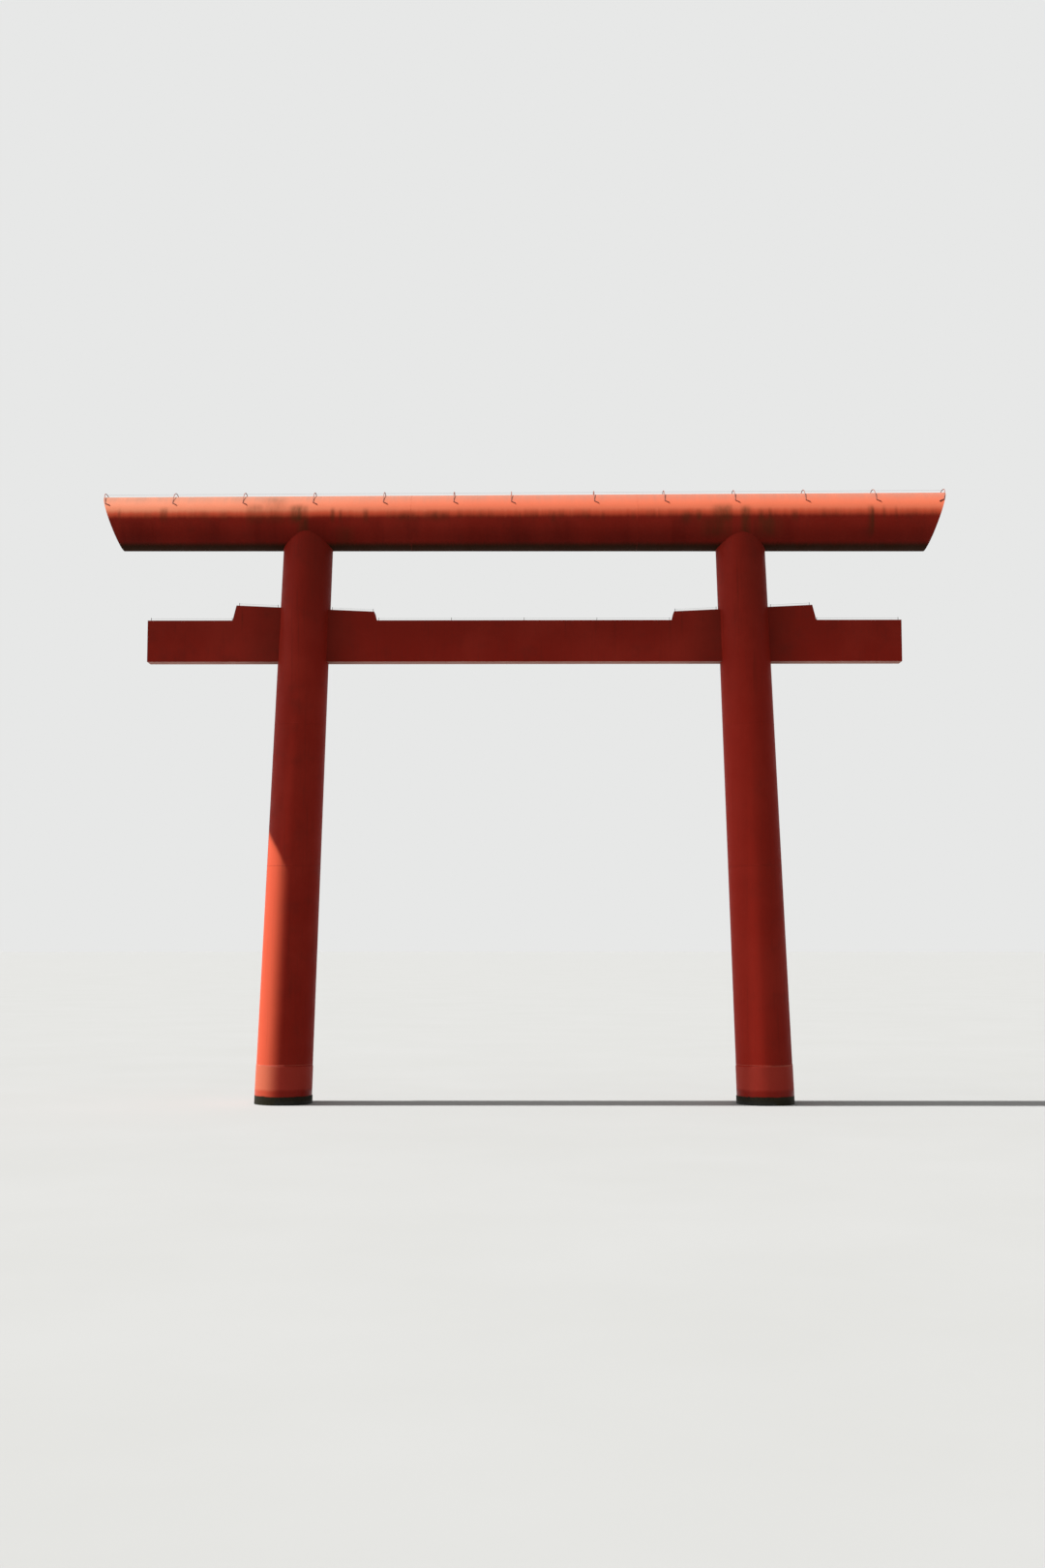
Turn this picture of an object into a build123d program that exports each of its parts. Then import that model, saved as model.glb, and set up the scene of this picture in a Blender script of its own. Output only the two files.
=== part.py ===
from build123d import *
import os
from math import cos, radians, sin, sqrt, tan

os.makedirs("parts", exist_ok=True)

# Torii gate that stands in water. Millimetres and degrees.
# The origin lies on the face of the left pillar's foot, +X to the right pillar, +Z up.

# Lintel: a round tube, slimmer at its left tip than at its right butt
lintel_length = 22500
lintel_height = 15367
lintel_rise = 0.08
lintel_tip_radius = 716.5
lintel_butt_radius = 779.5
lintel_wall = 12
lintel_end_slant = 19.6
lintel_seam_offset = 3000
lintel_plate_thickness = 16

# Pillars: round tubes that taper upwards and lean in towards each other
foot_spacing = 12580
pillar_lean = 2.0
pillar_foot_radius = 737
pillar_taper = 0.0057
pillar_wall = 19
pillar_lower_seam = 6170
pillar_upper_seam = 9900
foot_plate_thickness = 25
sleeve_height = 995
sleeve_wall = 9
sleeve_chamfer = 4

# Tie beam: a box girder that runs through both pillars
tie_length = 20016
tie_underside = 11590
tie_depth = 1107
tie_thickness = 450
tie_wall = 12
tie_plate_thickness = 16

# Wedges: closed boxes on the tie beam and flush with it, at both sides of each pillar
wedge_outer_reach = 7752
wedge_inner_reach = 3926
wedge_outer_height = 405
wedge_slope = 2.65
wedge_end_slant = 14
wedge_wall = 9

# Hoops over the lintel's crown, and slotted pins on the tie beam, which hold the wires
hoop_count = 13
hoop_end_margin = 55
hoop_end_lean = 15
hoop_middle_shift = -337
hoop_bar_radius = 10
hoop_rise = 98
hoop_foot_angle = 37
hoop_toe = 140
hoop_toe_slant = 35
middle_pin_count = 5
side_pin_count = 2
pin_width = 18
pin_depth = 10
pin_height = 110
pin_slot_depth = 22
pin_slot_side_gap = 0.5
pin_margin = 45
pin_pillar_margin = 60
wire_radius = 2
wire_tail = 15

# Clearances
seat_gap = 0.3

SIDES = {"left": -1, "right": 1}
middle = foot_spacing / 2


def save(builder, name):
    """Label a finished piece and write its STEP file."""
    builder.part.label = name
    export_step(builder.part, f"parts/{name}.step")


# The lintel's own frame: local X runs along its axis to the butt, local Y points up
lintel_plane = Plane(
    origin=(middle, 0, lintel_height),
    x_dir=(cos(radians(lintel_rise)), 0, sin(radians(lintel_rise))),
    z_dir=(0, -1, 0),
)
lintel_axis = Axis(lintel_plane.origin, lintel_plane.x_dir)
lintel_half = lintel_length / 2


def lintel_radius(along):
    """Outer radius of the lintel at a distance along its axis from the middle."""
    share = (along + lintel_half) / lintel_length
    return lintel_tip_radius + share * (lintel_butt_radius - lintel_tip_radius)


def lintel_end_plane(side, inset):
    """Slanted plane of one lintel end, moved inwards by inset; its normal points outwards."""
    slant = radians(lintel_end_slant)
    corner = lintel_plane.from_local_coords((side * lintel_half, lintel_radius(side * lintel_half), 0))
    direction = side * cos(slant) * lintel_plane.x_dir - sin(slant) * lintel_plane.y_dir
    return Plane(origin=corner - inset * direction, z_dir=direction)


def pillar_plane(side):
    """Frame of one pillar: local Y runs up its leaning axis, local X points across it."""
    lean = radians(pillar_lean)
    return Plane(
        origin=(middle + side * foot_spacing / 2, 0, 0),
        x_dir=(cos(lean), 0, side * sin(lean)),
        z_dir=(0, -1, 0),
    )


def pillar_radius(up):
    """Outer radius of a pillar at a distance up its axis."""
    return pillar_foot_radius - pillar_taper * up


def cone_profile(start, end, radius_at, inner=None):
    """Half section of a cone or tapered tube, along local X with the radius in local Y."""
    points = [(start, radius_at(start)), (end, radius_at(end))]
    if inner is None:
        points += [(end, 0), (start, 0)]
    else:
        points += [(end, radius_at(end) - inner), (start, radius_at(start) - inner)]
    return points


def turned(points):
    """The same half section with its length along local Y instead."""
    return [(across, along) for along, across in points]


# Solids of the pillars and the lintel with their seat gap, which other pieces are coped against
pillar_top = lintel_height
pillar_runout = 200
saddle_reach = foot_spacing / 2 + pillar_foot_radius

with BuildPart() as lintel_envelope:
    with BuildSketch(lintel_plane):
        with BuildLine():
            Polyline(
                *cone_profile(-saddle_reach, saddle_reach, lambda d: lintel_radius(d) + seat_gap),
                close=True,
            )
        make_face()
    revolve(axis=lintel_axis)

pillar_envelopes = {}
for name, side in SIDES.items():
    frame = pillar_plane(side)
    with BuildPart() as envelope:
        with BuildSketch(frame):
            with BuildLine():
                points = cone_profile(-pillar_runout, pillar_top, lambda d: pillar_radius(d) + seat_gap)
                Polyline(*turned(points), close=True)
            make_face()
        revolve(axis=Axis(frame.origin, frame.y_dir))
    pillar_envelopes[name] = envelope.part

# Pillars: three tapered sections, the lowest closed at water level, the highest fish-mouthed
for name, side in SIDES.items():
    frame = pillar_plane(side)
    axis = Axis(frame.origin, frame.y_dir)

    with BuildPart() as foot_hollow:
        with BuildSketch(frame):
            with BuildLine():
                points = cone_profile(-pillar_runout, pillar_lower_seam, lambda d: pillar_radius(d) - pillar_wall)
                Polyline(*turned(points), close=True)
            make_face()
        revolve(axis=axis)
        split(bisect_by=Plane.XY.offset(foot_plate_thickness), keep=Keep.TOP)

    with BuildPart() as foot:
        with BuildSketch(frame):
            with BuildLine():
                Polyline(*turned(cone_profile(-pillar_runout, pillar_lower_seam, pillar_radius)), close=True)
            make_face()
        revolve(axis=axis)
        split(bisect_by=Plane.XY, keep=Keep.TOP)
        add(foot_hollow.part, mode=Mode.SUBTRACT)
    save(foot, f"{name}_pillar_foot")

    with BuildPart() as shaft:
        with BuildSketch(frame):
            with BuildLine():
                points = cone_profile(pillar_lower_seam, pillar_upper_seam, pillar_radius, pillar_wall)
                Polyline(*turned(points), close=True)
            make_face()
        revolve(axis=axis)
    save(shaft, f"{name}_pillar_shaft")

    with BuildPart() as head:
        with BuildSketch(frame):
            with BuildLine():
                points = cone_profile(pillar_upper_seam, pillar_top, pillar_radius, pillar_wall)
                Polyline(*turned(points), close=True)
            make_face()
        revolve(axis=axis)
        add(lintel_envelope.part, mode=Mode.SUBTRACT)
    save(head, f"{name}_pillar_head")

    with BuildPart() as sleeve:
        with BuildSketch(frame):
            with BuildLine():
                inner = pillar_radius(sleeve_height) + seat_gap
                outer = inner + sleeve_wall
                drop = sleeve_height + pillar_runout
                Polyline(
                    (inner, sleeve_height),
                    (outer - sleeve_chamfer, sleeve_height),
                    (outer, sleeve_height - sleeve_chamfer),
                    (outer + pillar_taper * drop, -pillar_runout),
                    (inner + pillar_taper * drop, -pillar_runout),
                    close=True,
                )
            make_face()
        revolve(axis=axis)
        split(bisect_by=Plane.XY, keep=Keep.TOP)
    save(sleeve, f"{name}_foot_sleeve")

# Lintel: three tube sections and two slanted end plates
with BuildPart() as lintel_middle:
    with BuildSketch(lintel_plane):
        with BuildLine():
            Polyline(
                *cone_profile(-lintel_seam_offset, lintel_seam_offset, lintel_radius, lintel_wall),
                close=True,
            )
        make_face()
    revolve(axis=lintel_axis)
save(lintel_middle, "lintel_middle")

for name, side in SIDES.items():
    with BuildPart() as arm:
        with BuildSketch(lintel_plane):
            with BuildLine():
                Polyline(
                    *cone_profile(side * lintel_seam_offset, side * lintel_half, lintel_radius, lintel_wall),
                    close=True,
                )
            make_face()
        revolve(axis=lintel_axis)
        split(bisect_by=lintel_end_plane(side, lintel_plate_thickness), keep=Keep.BOTTOM)
    save(arm, f"lintel_{name}")

    with BuildPart() as plate:
        with BuildSketch(lintel_plane):
            with BuildLine():
                Polyline(
                    *cone_profile(side * lintel_seam_offset, side * lintel_half, lintel_radius),
                    close=True,
                )
            make_face()
        revolve(axis=lintel_axis)
        split(bisect_by=lintel_end_plane(side, 0), keep=Keep.BOTTOM)
        split(bisect_by=lintel_end_plane(side, lintel_plate_thickness), keep=Keep.TOP)
    save(plate, f"lintel_{name}_end_plate")

# Tie beam: a middle span between the pillars, two outer arms coped to them, and end plates
tie_middle_height = tie_underside + tie_depth / 2
tie_top = tie_underside + tie_depth
tie_half = tie_length / 2


def pillar_offset(height):
    """Distance of a pillar's axis from the middle of the gate at a height."""
    return foot_spacing / 2 - tan(radians(pillar_lean)) * height


with BuildPart() as tie_middle:
    with BuildSketch(Plane.YZ.offset(middle)):
        with Locations((0, tie_middle_height)):
            Rectangle(tie_thickness, tie_depth)
            Rectangle(tie_thickness - 2 * tie_wall, tie_depth - 2 * tie_wall, mode=Mode.SUBTRACT)
    extrude(amount=pillar_offset(tie_middle_height), both=True)
    for envelope in pillar_envelopes.values():
        add(envelope, mode=Mode.SUBTRACT)
save(tie_middle, "tie_beam_middle")

for name, side in SIDES.items():
    plate_inside = middle + side * (tie_half - tie_plate_thickness)
    with BuildPart() as arm:
        with BuildSketch(Plane.YZ.offset(plate_inside)):
            with Locations((0, tie_middle_height)):
                Rectangle(tie_thickness, tie_depth)
                Rectangle(tie_thickness - 2 * tie_wall, tie_depth - 2 * tie_wall, mode=Mode.SUBTRACT)
        extrude(amount=middle + side * pillar_offset(tie_middle_height) - plate_inside)
        add(pillar_envelopes[name], mode=Mode.SUBTRACT)
    save(arm, f"tie_beam_{name}")

    with BuildPart() as plate:
        with BuildSketch(Plane.YZ.offset(plate_inside)):
            with Locations((0, tie_middle_height)):
                Rectangle(tie_thickness, tie_depth)
        extrude(amount=side * tie_plate_thickness)
    save(plate, f"tie_beam_{name}_end_plate")


# Wedges: one outside and one inside each pillar, their tops in one slanting line
def wedge_top(reach):
    """Height of the wedge's slanting top at a distance from the middle of the gate."""
    outer_corner = wedge_outer_reach - tan(radians(wedge_end_slant)) * wedge_outer_height
    return tie_top + wedge_outer_height - tan(radians(wedge_slope)) * (outer_corner - reach)


def wedge_outline(side):
    """Corners of the whole wedge as seen from the front, before the pillar divides it."""
    lean = tan(radians(wedge_end_slant))
    slope = tan(radians(wedge_slope))
    inner_height = (wedge_top(wedge_inner_reach) - tie_top) / (1 - slope * lean)
    return [
        (middle + side * wedge_inner_reach, tie_top),
        (middle + side * wedge_outer_reach, tie_top),
        (middle + side * (wedge_outer_reach - lean * wedge_outer_height), tie_top + wedge_outer_height),
        (middle + side * (wedge_inner_reach + lean * inner_height), tie_top + inner_height),
    ]


for name, side in SIDES.items():
    with BuildPart() as wedge:
        with BuildSketch(Plane.XZ.offset(-tie_thickness / 2)):
            with BuildLine():
                Polyline(*wedge_outline(side), close=True)
            make_face()
        extrude(amount=tie_thickness)
        with BuildSketch(Plane.XZ.offset(wedge_wall - tie_thickness / 2)):
            with BuildLine():
                Polyline(*wedge_outline(side), close=True)
            make_face()
            offset(amount=-wedge_wall, mode=Mode.REPLACE)
        extrude(amount=tie_thickness - 2 * wedge_wall, mode=Mode.SUBTRACT)
        add(pillar_envelopes[name], mode=Mode.SUBTRACT)
    halves = wedge.solids().sort_by(Axis.X)
    inner_half, outer_half = (halves[0], halves[-1]) if side > 0 else (halves[-1], halves[0])
    for place, half in (("inner", inner_half), ("outer", outer_half)):
        with BuildPart() as piece:
            add(half)
        save(piece, f"{name}_{place}_wedge")

# Hoops: a bar bent over the crown, its legs tangent to the lintel's shoulders and its feet
# turned sideways as toes. The first and last hoop lean outwards, so that the lintel's section
# in their plane is an ellipse.
hoop_first = -lintel_half + hoop_end_margin
hoop_pitch = (lintel_length - 2 * hoop_end_margin) / (hoop_count - 1)
foot_cos = cos(radians(hoop_foot_angle))
foot_sin = sin(radians(hoop_foot_angle))


def hoop_plane(along, lean):
    """Plane of a hoop: x across the gate, y up, through the crown at a distance along the lintel."""
    root = along - lintel_radius(along) * tan(radians(lean))
    return Plane(
        origin=lintel_plane.from_local_coords((root, 0, 0)),
        x_dir=(0, 1, 0),
        z_dir=lintel_plane.x_dir.rotate(Axis.Y, lean),
    )


for number in range(hoop_count):
    along = hoop_first + number * hoop_pitch
    lean = 0
    toe_side = 1
    if number == hoop_count // 2:
        along += hoop_middle_shift
    if number == 0:
        lean = -hoop_end_lean
    if number == hoop_count - 1:
        lean = hoop_end_lean
        toe_side = -1
    plane = hoop_plane(along, lean)
    stretch = 1 / cos(radians(lean))
    toe_along = along + toe_side * hoop_toe
    seat = max(lintel_radius(along), lintel_radius(toe_along)) + seat_gap + hoop_bar_radius
    foot_up = seat * foot_sin * stretch
    apex_up = (lintel_radius(along) + hoop_rise) * stretch
    leg_normal = Vector(foot_cos, foot_sin / stretch).normalized()
    foot_reach = leg_normal.X * seat * foot_cos + leg_normal.Y * (foot_up - apex_up)
    bow_radius = foot_reach / (1 - leg_normal.Y)
    bow_end_up = apex_up - bow_radius * (1 - leg_normal.Y)
    with BuildPart() as hoop:
        with BuildLine() as path:
            bow_ends = []
            for side in (-1, 1):
                foot = plane.from_local_coords((side * seat * foot_cos, foot_up))
                bow_end = plane.from_local_coords((side * bow_radius * leg_normal.X, bow_end_up))
                leg_way = (foot - bow_end).normalized()
                toe_way = (
                    cos(radians(hoop_toe_slant)) * toe_side * lintel_plane.x_dir
                    + sin(radians(hoop_toe_slant)) * leg_way
                )
                Line(bow_end, foot)
                Line(foot, foot + hoop_toe * toe_way)
                bow_ends.append(bow_end)
            ThreePointArc(bow_ends[0], plane.from_local_coords((0, apex_up)), bow_ends[1])
        way = Wire(path.edges())
        with BuildSketch(Plane(origin=way @ 0, z_dir=way % 0)):
            Circle(hoop_bar_radius)
        sweep(path=way, transition=Transition.RIGHT)
    save(hoop, f"lintel_hoop_{number + 1:02d}")

# Wire stretched under the bows of the hoops
wire_rise = hoop_rise - hoop_bar_radius - seat_gap - wire_radius
wire_ends = []
for side in SIDES.values():
    along = -side * hoop_first
    wire_up = (lintel_radius(along) + wire_rise) / cos(radians(hoop_end_lean))
    wire_ends.append(hoop_plane(along, side * hoop_end_lean).from_local_coords((0, wire_up)))
wire_start = wire_ends[0]
wire_length = (wire_ends[1] - wire_start).length
wire_way = (wire_ends[1] - wire_start).normalized()
with BuildPart() as lintel_wire:
    with BuildSketch(Plane(origin=wire_start - wire_tail * wire_way, z_dir=wire_way)):
        Circle(wire_radius)
    extrude(amount=wire_length + 2 * wire_tail)
save(lintel_wire, "lintel_wire")

# Pins of flat bar on the tie beam and on the wedges, with a wire in the slots of each run.
# A run goes from pin to pin along one flat top, whose height is given by top_at. Its places
# are distances from the middle of the gate.
def level_top(along):
    """Height of the tie beam's top."""
    return tie_top


def slanted_top(along):
    """Height of a wedge's top."""
    return wedge_top(abs(along))


outer_pillar_face = pillar_offset(tie_top) + pillar_radius(tie_top)
inner_pillar_face = pillar_offset(tie_top) - pillar_radius(tie_top)
wedge_tip_lean = tan(radians(wedge_end_slant))
pin_runs = [(-wedge_inner_reach + pin_margin, wedge_inner_reach - pin_margin, middle_pin_count, level_top)]
for side in SIDES.values():
    end_pins = (wedge_outer_reach + pin_margin, tie_half - pin_margin)
    outer_wedge_pins = (
        outer_pillar_face + pin_pillar_margin,
        wedge_outer_reach - wedge_tip_lean * wedge_outer_height - pin_margin,
    )
    inner_wedge_pins = (
        wedge_inner_reach + wedge_tip_lean * (wedge_top(wedge_inner_reach) - tie_top) + pin_margin,
        inner_pillar_face - pin_pillar_margin,
    )
    pin_runs.append((side * end_pins[0], side * end_pins[1], side_pin_count, level_top))
    for first, last in (outer_wedge_pins, inner_wedge_pins):
        pin_runs.append((side * first, side * last, side_pin_count, slanted_top))


def run_plane(first, last, top_at):
    """Plane of a run's top: origin at its first pin, local X towards its last pin."""
    start = Vector(middle + first, 0, top_at(first))
    end = Vector(middle + last, 0, top_at(last))
    return Plane(origin=start, x_dir=end - start, z_dir=(end - start).cross(Vector(0, 1, 0)))


pin_list = []
wire_list = []
for first, last, count, top_at in pin_runs:
    top = run_plane(first, last, top_at)
    slot_rise = pin_height - pin_slot_depth
    wire_seat = slot_rise + seat_gap + wire_radius
    for number in range(count):
        along = first + (last - first) * number / (count - 1)
        with BuildPart() as pin:
            with BuildSketch(Plane.XY.offset(top_at(along) - pin_width)):
                with Locations((middle + along, 0)):
                    Rectangle(pin_depth, pin_width)
            extrude(amount=pin_width + pin_height)
            split(bisect_by=top, keep=Keep.TOP if top.z_dir.Z > 0 else Keep.BOTTOM)
            with BuildSketch(Plane.XY.offset(top_at(along) + slot_rise)):
                with Locations((middle + along, 0)):
                    Rectangle(pin_width, 2 * (wire_radius + pin_slot_side_gap))
            extrude(amount=pin_slot_depth, mode=Mode.SUBTRACT)
        pin_list.append(pin.part)
    run_start = Vector(middle + first, 0, top_at(first) + wire_seat)
    run_length = Vector(last - first, 0, top_at(last) - top_at(first)).length
    with BuildPart() as wire:
        with BuildSketch(Plane(origin=run_start - wire_tail * top.x_dir, z_dir=top.x_dir)):
            Circle(wire_radius)
        extrude(amount=run_length + 2 * wire_tail)
    wire_list.append(wire.part)

with BuildPart() as pins:
    add(pin_list)
save(pins, "tie_beam_pins")

with BuildPart() as tie_wires:
    add(wire_list)
save(tie_wires, "tie_beam_wires")
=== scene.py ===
from math import cos, pi, radians, sin, sqrt, tan

import bmesh
import bpy
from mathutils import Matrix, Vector, noise


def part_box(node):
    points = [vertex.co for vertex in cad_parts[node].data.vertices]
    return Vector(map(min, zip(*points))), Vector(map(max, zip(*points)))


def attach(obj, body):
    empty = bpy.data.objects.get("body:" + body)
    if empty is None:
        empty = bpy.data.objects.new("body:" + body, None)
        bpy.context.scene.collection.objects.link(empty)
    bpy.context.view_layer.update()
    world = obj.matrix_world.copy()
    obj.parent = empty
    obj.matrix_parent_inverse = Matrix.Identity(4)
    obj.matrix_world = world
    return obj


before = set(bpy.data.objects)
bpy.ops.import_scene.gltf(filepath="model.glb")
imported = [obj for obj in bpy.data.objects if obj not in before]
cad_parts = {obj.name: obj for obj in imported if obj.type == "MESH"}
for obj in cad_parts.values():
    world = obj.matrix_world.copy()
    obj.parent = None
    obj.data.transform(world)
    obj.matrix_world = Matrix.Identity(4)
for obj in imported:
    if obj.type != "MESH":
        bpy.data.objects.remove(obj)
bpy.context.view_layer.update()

# Sizes of the gate in metres, as in its construction. The origin lies on the left foot.
FOOT_SPACING = 12.58
MIDDLE = FOOT_SPACING / 2
PILLAR_LEAN = radians(2.0)
PILLAR_FOOT_RADIUS = 0.737
PILLAR_TAPER = 0.0057
PILLAR_SEAMS = (6.17, 9.9)
LINTEL_HEIGHT = 15.367
LINTEL_RISE = radians(0.08)
LINTEL_LENGTH = 22.5
LINTEL_TIP_RADIUS = 0.7165
LINTEL_BUTT_RADIUS = 0.7795
LINTEL_SEAMS = (-3.0, 3.0)
WEDGE_SLOPE = radians(2.65)
WEDGE_END_SLANT = radians(14)
HOOP_COUNT = 13
HOOP_END_MARGIN = 0.055
HOOP_END_LEAN = radians(15)
HOOP_MIDDLE_SHIFT = -0.337
HOOP_BAR_RADIUS = 0.010
HOOP_RISE = 0.098
HOOP_FOOT_ANGLE = radians(37)
HOOP_TOE = 0.14
HOOP_TOE_SLANT = radians(35)
WIRE_RADIUS = 0.002
SEAT_GAP = 0.0003

SIDES = {"left": -1, "right": 1}
ACROSS = Vector((0, 1, 0))
LINTEL_AXIS = Vector((cos(LINTEL_RISE), 0, sin(LINTEL_RISE)))
LINTEL_UP = Vector((-sin(LINTEL_RISE), 0, cos(LINTEL_RISE)))
LINTEL_MIDDLE = Vector((MIDDLE, 0, LINTEL_HEIGHT))
HOOP_FIRST = -LINTEL_LENGTH / 2 + HOOP_END_MARGIN
HOOP_PITCH = (LINTEL_LENGTH - 2 * HOOP_END_MARGIN) / (HOOP_COUNT - 1)


def lintel_radius(along):
    """Radius of the lintel at a distance along its axis from the middle."""
    share = along / LINTEL_LENGTH + 0.5
    return LINTEL_TIP_RADIUS + share * (LINTEL_BUTT_RADIUS - LINTEL_TIP_RADIUS)


def pillar_axis(side):
    """Foot point and upward direction of a pillar's axis."""
    foot = Vector((MIDDLE + side * FOOT_SPACING / 2, 0, 0))
    return foot, Vector((-side * sin(PILLAR_LEAN), 0, cos(PILLAR_LEAN)))


def pillar_radius(up):
    """Radius of a pillar at a distance up its axis."""
    return PILLAR_FOOT_RADIUS - PILLAR_TAPER * up


def pillar_point(side, up, turn):
    """Point on a pillar's surface, and its outward direction. Turn 0 faces the front."""
    foot, axis = pillar_axis(side)
    out = -cos(turn) * ACROSS + sin(turn) * ACROSS.cross(axis)
    return foot + up * axis + pillar_radius(up) * out, out


# Colours, written as they look in sRGB
def srgb(red, green, blue):
    """Linear colour, with alpha, of an sRGB colour whose channels run from 0 to 255."""
    channels = []
    for value in (red / 255, green / 255, blue / 255):
        channels.append(value / 12.92 if value <= 0.04045 else ((value + 0.055) / 1.055) ** 2.4)
    return (*channels, 1)


PAINT_DEEP = srgb(160, 40, 28)
PAINT_LIGHT = srgb(172, 49, 36)
PAINT_DULL = srgb(134, 42, 32)
# Painted sunlight on the left pillar's sunny side, with some sun bleaching
PAINT_PAINTED_SUNLIGHT = srgb(250, 106, 74)
# Worn paint; also painted fill light on the right pillar's left flank
PAINT_WORN_AND_LIT = srgb(194, 49, 35)
# Crown and shoulder colours: sun bleaching with painted sunlight, also used on the tops of the tie
# beam and bars
BLEACHED_SUNLIT_CROWN_PALE = srgb(197, 139, 115)
BLEACHED_SUNLIT_CROWN_WARM = srgb(199, 127, 105)
BLEACHED_SUNLIT_SHOULDER_PALE = srgb(254, 152, 114)
BLEACHED_SUNLIT_SHOULDER_ORANGE = srgb(252, 130, 94)
BLEACHED_SUNLIT_SHOULDER_RED = srgb(232, 94, 62)
# Painted shade down the lintel's face
FACE_PAINTED_SHADE = srgb(60, 12, 8)
# Painted reflected light on the tie beam's underside
UNDERSIDE_PAINTED_BOUNCE = srgb(214, 150, 132)
# Soot in runs; also painted shade near the pillar tops and beside the pillars on the tie beam
SOOT_AND_SHADE = srgb(58, 34, 24)
GRIME = srgb(46, 30, 15)
STAIN_BROWN = srgb(96, 54, 32)
STAIN_OLIVE = srgb(84, 60, 34)
RUST = srgb(112, 52, 26)
FOOT_CHALK = srgb(186, 60, 46)
# Painted sunlight on the left foot's sunny side
FOOT_PAINTED_SUNLIGHT = srgb(244, 128, 94)
FOOT_WET = srgb(156, 36, 24)
# Painted highlight on the foot coating's rim
FOOT_RIM_HIGHLIGHT = srgb(222, 124, 102)
ALGAE = srgb(25, 23, 15)
ALGAE_WET = srgb(14, 15, 10)
ALGAE_DRY = srgb(52, 46, 28)
BAR_PAINT = srgb(132, 52, 40)
BAR_STEEL = srgb(84, 60, 52)
PIN_PAINT = srgb(62, 27, 22)
PIN_STEEL = srgb(40, 30, 27)
WIRE_DULL = srgb(132, 134, 134)
WIRE_DARK = srgb(84, 86, 88)
FLOOR_PALE = srgb(190, 190, 188)
FLOOR_SHADE = srgb(184, 184, 181)


class Graph:
    """One material's nodes, with short calls that add a node and return its output."""

    def __init__(self, name):
        self.material = bpy.data.materials.new(name)
        self.material.use_nodes = True
        self.nodes = self.material.node_tree.nodes
        self.links = self.material.node_tree.links
        self.shader = self.nodes["Principled BSDF"]
        self.place = self.node("ShaderNodeTexCoord").outputs["Object"]
        self.x, self.y, self.z = self.split(self.place)
        geometry = self.node("ShaderNodeNewGeometry")
        self.facing_x, self.facing_y, self.facing_z = self.split(geometry.outputs["Normal"])

    def node(self, kind, **settings):
        node = self.nodes.new(kind)
        for key, value in settings.items():
            setattr(node, key, value)
        return node

    def feed(self, socket, value):
        """Link an output to a socket, or set the socket's own value."""
        if isinstance(value, bpy.types.NodeSocket):
            self.links.new(value, socket)
        else:
            socket.default_value = value

    def split(self, vector):
        node = self.node("ShaderNodeSeparateXYZ")
        self.feed(node.inputs[0], vector)
        return node.outputs

    def math(self, operation, first, second=0.0):
        node = self.node("ShaderNodeMath", operation=operation)
        self.feed(node.inputs[0], first)
        self.feed(node.inputs[1], second)
        return node.outputs[0]

    def times(self, *values):
        product = values[0]
        for value in values[1:]:
            product = self.math("MULTIPLY", product, value)
        return product

    def rise(self, value, low, high):
        """0 below low, 1 above high and smooth between; low may be the larger one."""
        node = self.node("ShaderNodeMapRange", interpolation_type="SMOOTHSTEP")
        self.feed(node.inputs["Value"], value)
        node.inputs["From Min"].default_value = min(low, high)
        node.inputs["From Max"].default_value = max(low, high)
        node.inputs["To Min"].default_value = 0 if low < high else 1
        node.inputs["To Max"].default_value = 1 if low < high else 0
        return node.outputs["Result"]

    def near(self, value, centre, reach):
        """1 at centre, falling to 0 at reach on both sides."""
        distance = self.math("ABSOLUTE", self.math("SUBTRACT", value, centre))
        return self.rise(distance, reach, 0)

    def noise(self, per_metre, shift=0.0, detail=4.0, rough=0.55, stretch=(1, 1, 1)):
        """Noise in 0 to 1 with about per_metre blotches a metre, stretched along each axis."""
        scaled = self.node("ShaderNodeVectorMath", operation="MULTIPLY_ADD")
        self.feed(scaled.inputs[0], self.place)
        scaled.inputs[1].default_value = [per_metre / share for share in stretch]
        scaled.inputs[2].default_value = (shift, shift * 1.7, shift * 0.6)
        node = self.node("ShaderNodeTexNoise")
        self.feed(node.inputs["Vector"], scaled.outputs[0])
        node.inputs["Scale"].default_value = 1
        node.inputs["Detail"].default_value = detail
        node.inputs["Roughness"].default_value = rough
        return node.outputs["Fac"]

    def mix(self, factor, first, second):
        node = self.node("ShaderNodeMix", data_type="RGBA")
        self.feed(node.inputs["Factor"], factor)
        self.feed(node.inputs[6], first)
        self.feed(node.inputs[7], second)
        return node.outputs[2]

    def bump(self, height, metres, under=None):
        node = self.node("ShaderNodeBump")
        self.feed(node.inputs["Height"], height)
        node.inputs["Distance"].default_value = metres
        if under is not None:
            self.feed(node.inputs["Normal"], under)
        return node.outputs["Normal"]

    def finish(self, colour, roughness, normal, specular=0.05, metallic=0.0):
        self.feed(self.shader.inputs["Base Color"], colour)
        self.feed(self.shader.inputs["Roughness"], roughness)
        self.feed(self.shader.inputs["Normal"], normal)
        self.shader.inputs["Specular IOR Level"].default_value = specular
        self.shader.inputs["Metallic"].default_value = metallic
        return self.material


def paint_relief(graph):
    """Slightly wavy plate under brushed paint with a fine orange peel."""
    wavy = graph.bump(graph.noise(0.9, 3, detail=2), 0.012)
    brushed = graph.bump(graph.noise(14, 5, detail=6, rough=0.65), 0.0012, wavy)
    return graph.bump(graph.noise(160, 9, detail=3), 0.0003, brushed)


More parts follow.
